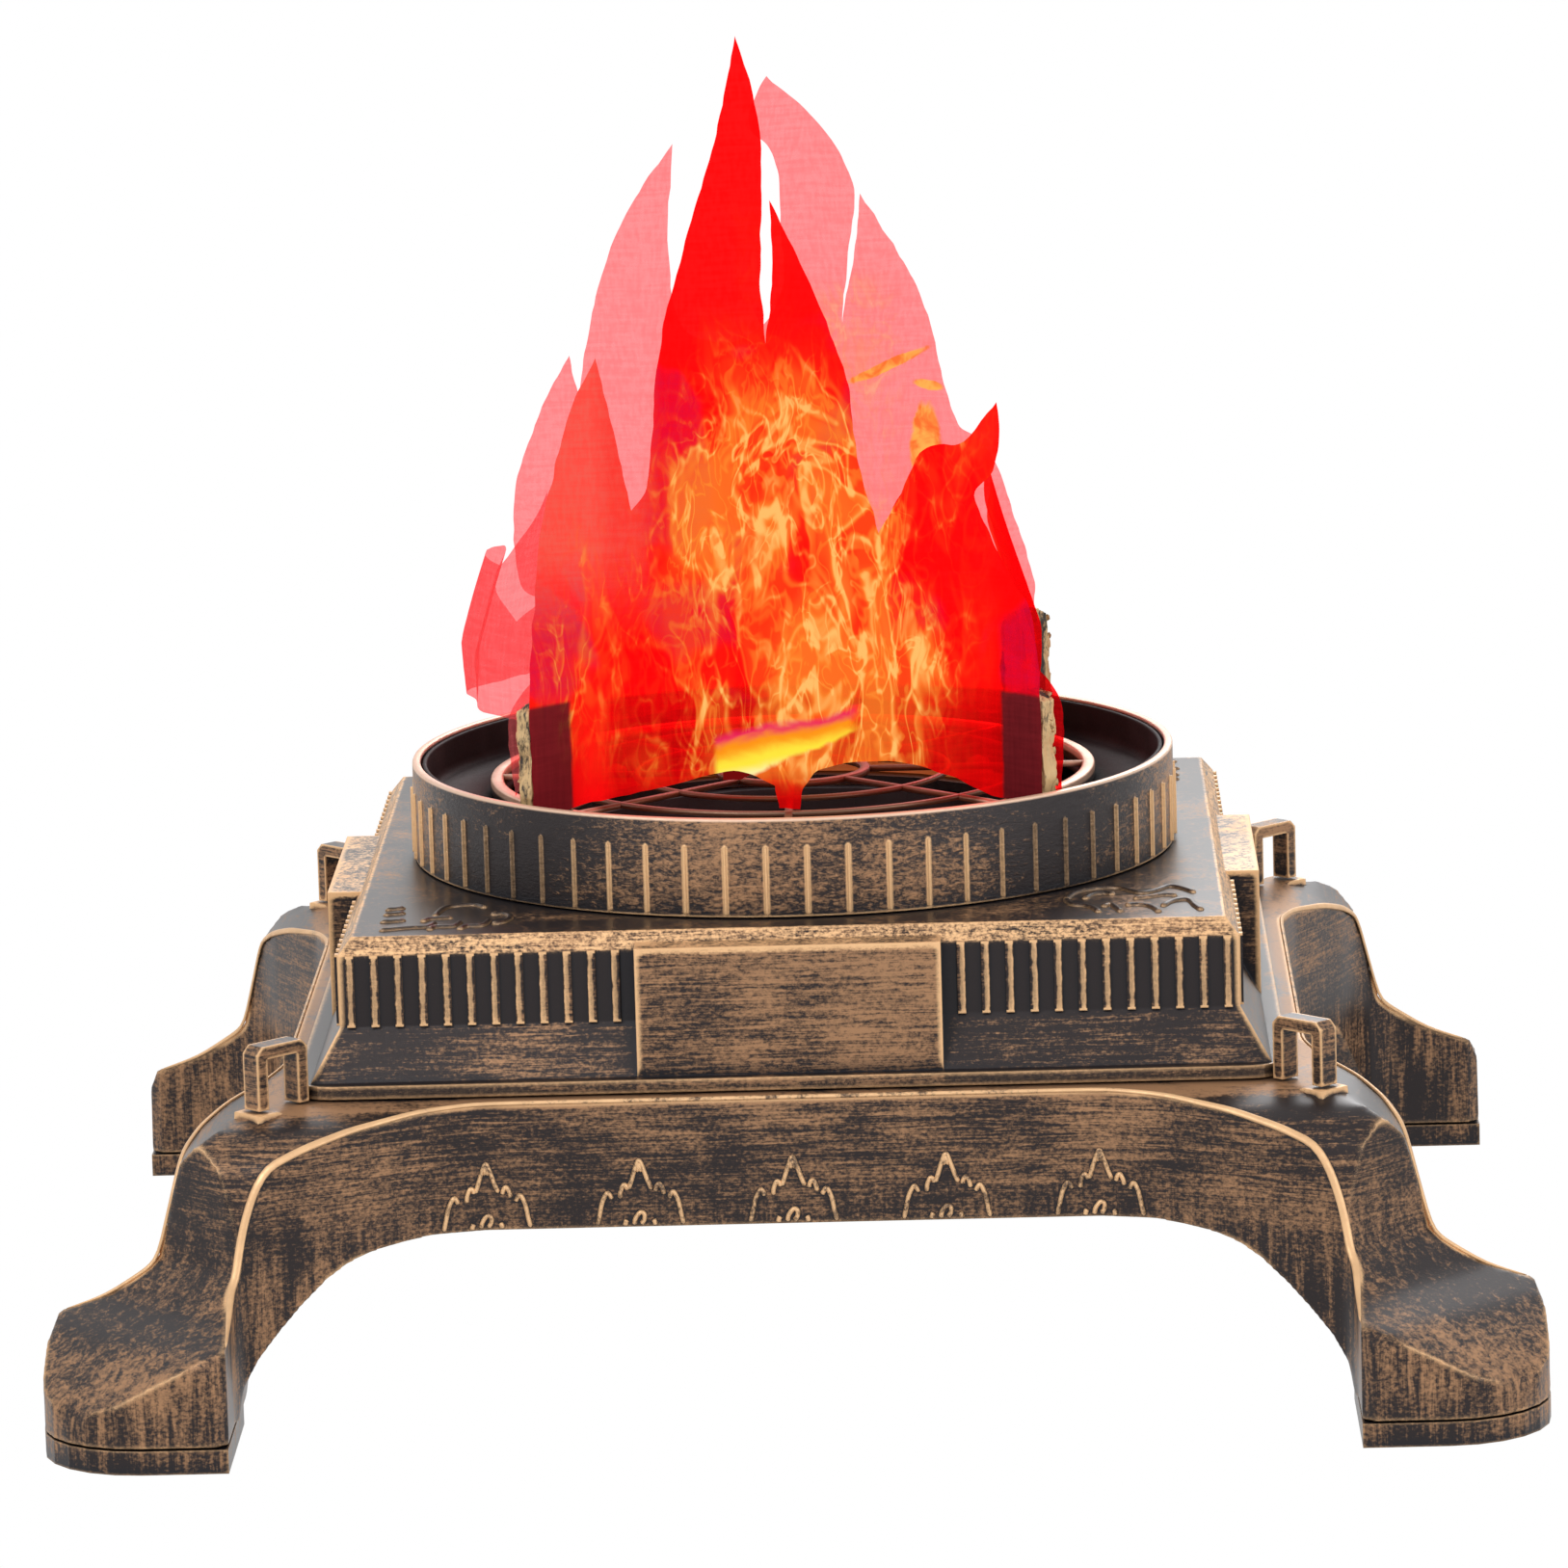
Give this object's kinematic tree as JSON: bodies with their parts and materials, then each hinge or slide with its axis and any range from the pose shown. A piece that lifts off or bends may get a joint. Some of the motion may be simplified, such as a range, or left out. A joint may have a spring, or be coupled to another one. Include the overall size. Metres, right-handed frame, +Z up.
{
  "type": "silk flame effect light",
  "caption": "Square bronze-look lamp on splayed legs: a fan under a round guard lifts silk flames lit by a ring of lamps, with hanging loops at its corners.",
  "frame": {"origin": "on the floor, under the middle of the lamp", "axes": "+Z up, -Y the front that the picture shows, +X to its right"},
  "size_m": [0.2412, 0.2412, 0.2146],
  "materials": {
    "bronze_finish": "moulded plastic in antique bronze paint, dark brown with gold dry-brushing",
    "black_bowl": "matt black",
    "copper_guard": "moulded plastic in pale copper paint",
    "bark": "moulded bark, gold over dark brown",
    "foot_pad": "bronze-painted foot cap",
    "red_silk": "thin woven silk, red",
    "pink_silk": "thin woven silk, one light layer",
    "amber_silk": "silk lit yellow from below",
    "dark_plastic": "black moulded plastic",
    "rocker_plastic": "glossy black",
    "circuit_board": "green solder mask",
    "lamp_lens": "clear moulded lens ring, warm",
    "component_black": "black component body",
    "terminal_green": "green terminal housing",
    "copper_parts": "brass and copper wire",
    "steel": "zinc-plated steel"
  },
  "bodies": {
    "root": {"leg_frame": "bronze_finish", "base_cover": "dark_plastic", "housing": "bronze_finish", "drum_ring": "bronze_finish", "bowl_liner": "black_bowl", "fan_guard": "copper_guard", "foot_pad_rear_right": "foot_pad", "hanging_loop_rear_right": "bronze_finish", "stake_rear_right": "bark", "foot_pad_rear_left": "foot_pad", "hanging_loop_rear_left": "bronze_finish", "stake_rear_left": "bark", "foot_pad_front_left": "foot_pad", "hanging_loop_front_left": "bronze_finish", "stake_front_left": "bark", "foot_pad_front_right": "foot_pad", "hanging_loop_front_right": "bronze_finish", "stake_front_right": "bark", "silk_front": "red_silk", "silk_rear": "pink_silk", "silk_left": "pink_silk", "silk_right": "pink_silk", "silk_flap": "amber_silk", "chassis_plate": "steel", "fan_frame": "dark_plastic", "fan_motor": "steel", "fan_bearing": "copper_parts", "lamp_board": "circuit_board", "lamp_lens": "lamp_lens", "driver_board": "circuit_board", "capacitor": "component_black", "choke": "copper_parts", "driver_chip": "component_black", "terminal_block": "terminal_green", "switch_body": "dark_plastic", "power_inlet": "dark_plastic", "inlet_pin": "steel", "inlet_nut": "steel", "housing_screw_1": "steel", "housing_screw_2": "steel", "housing_screw_3": "steel", "housing_screw_4": "steel", "cover_screw_1": "steel", "cover_screw_2": "steel", "cover_screw_3": "steel", "cover_screw_4": "steel", "fan_screw_1": "steel", "fan_screw_2": "steel", "fan_screw_3": "steel", "fan_screw_4": "steel", "chassis_screw_1": "steel", "chassis_screw_2": "steel", "chassis_screw_3": "steel", "chassis_screw_4": "steel"},
    "fan_rotor": {"impeller": "dark_plastic", "fan_shaft": "steel"},
    "rocker": {"switch_rocker": "rocker_plastic"}
  },
  "joints": [
    {"name": "fan_spin", "type": "hinge", "parent": "root", "child": "fan_rotor", "pos_m": [0, 0, 0.0666], "axis": [0, 0, 1], "continuous": true},
    {"name": "switch_tilt", "type": "hinge", "parent": "root", "child": "rocker", "pos_m": [-0.0105, 0.0765, 0.06395], "axis": [-1, 0, 0], "range_deg": [0, 14]}
  ]
}
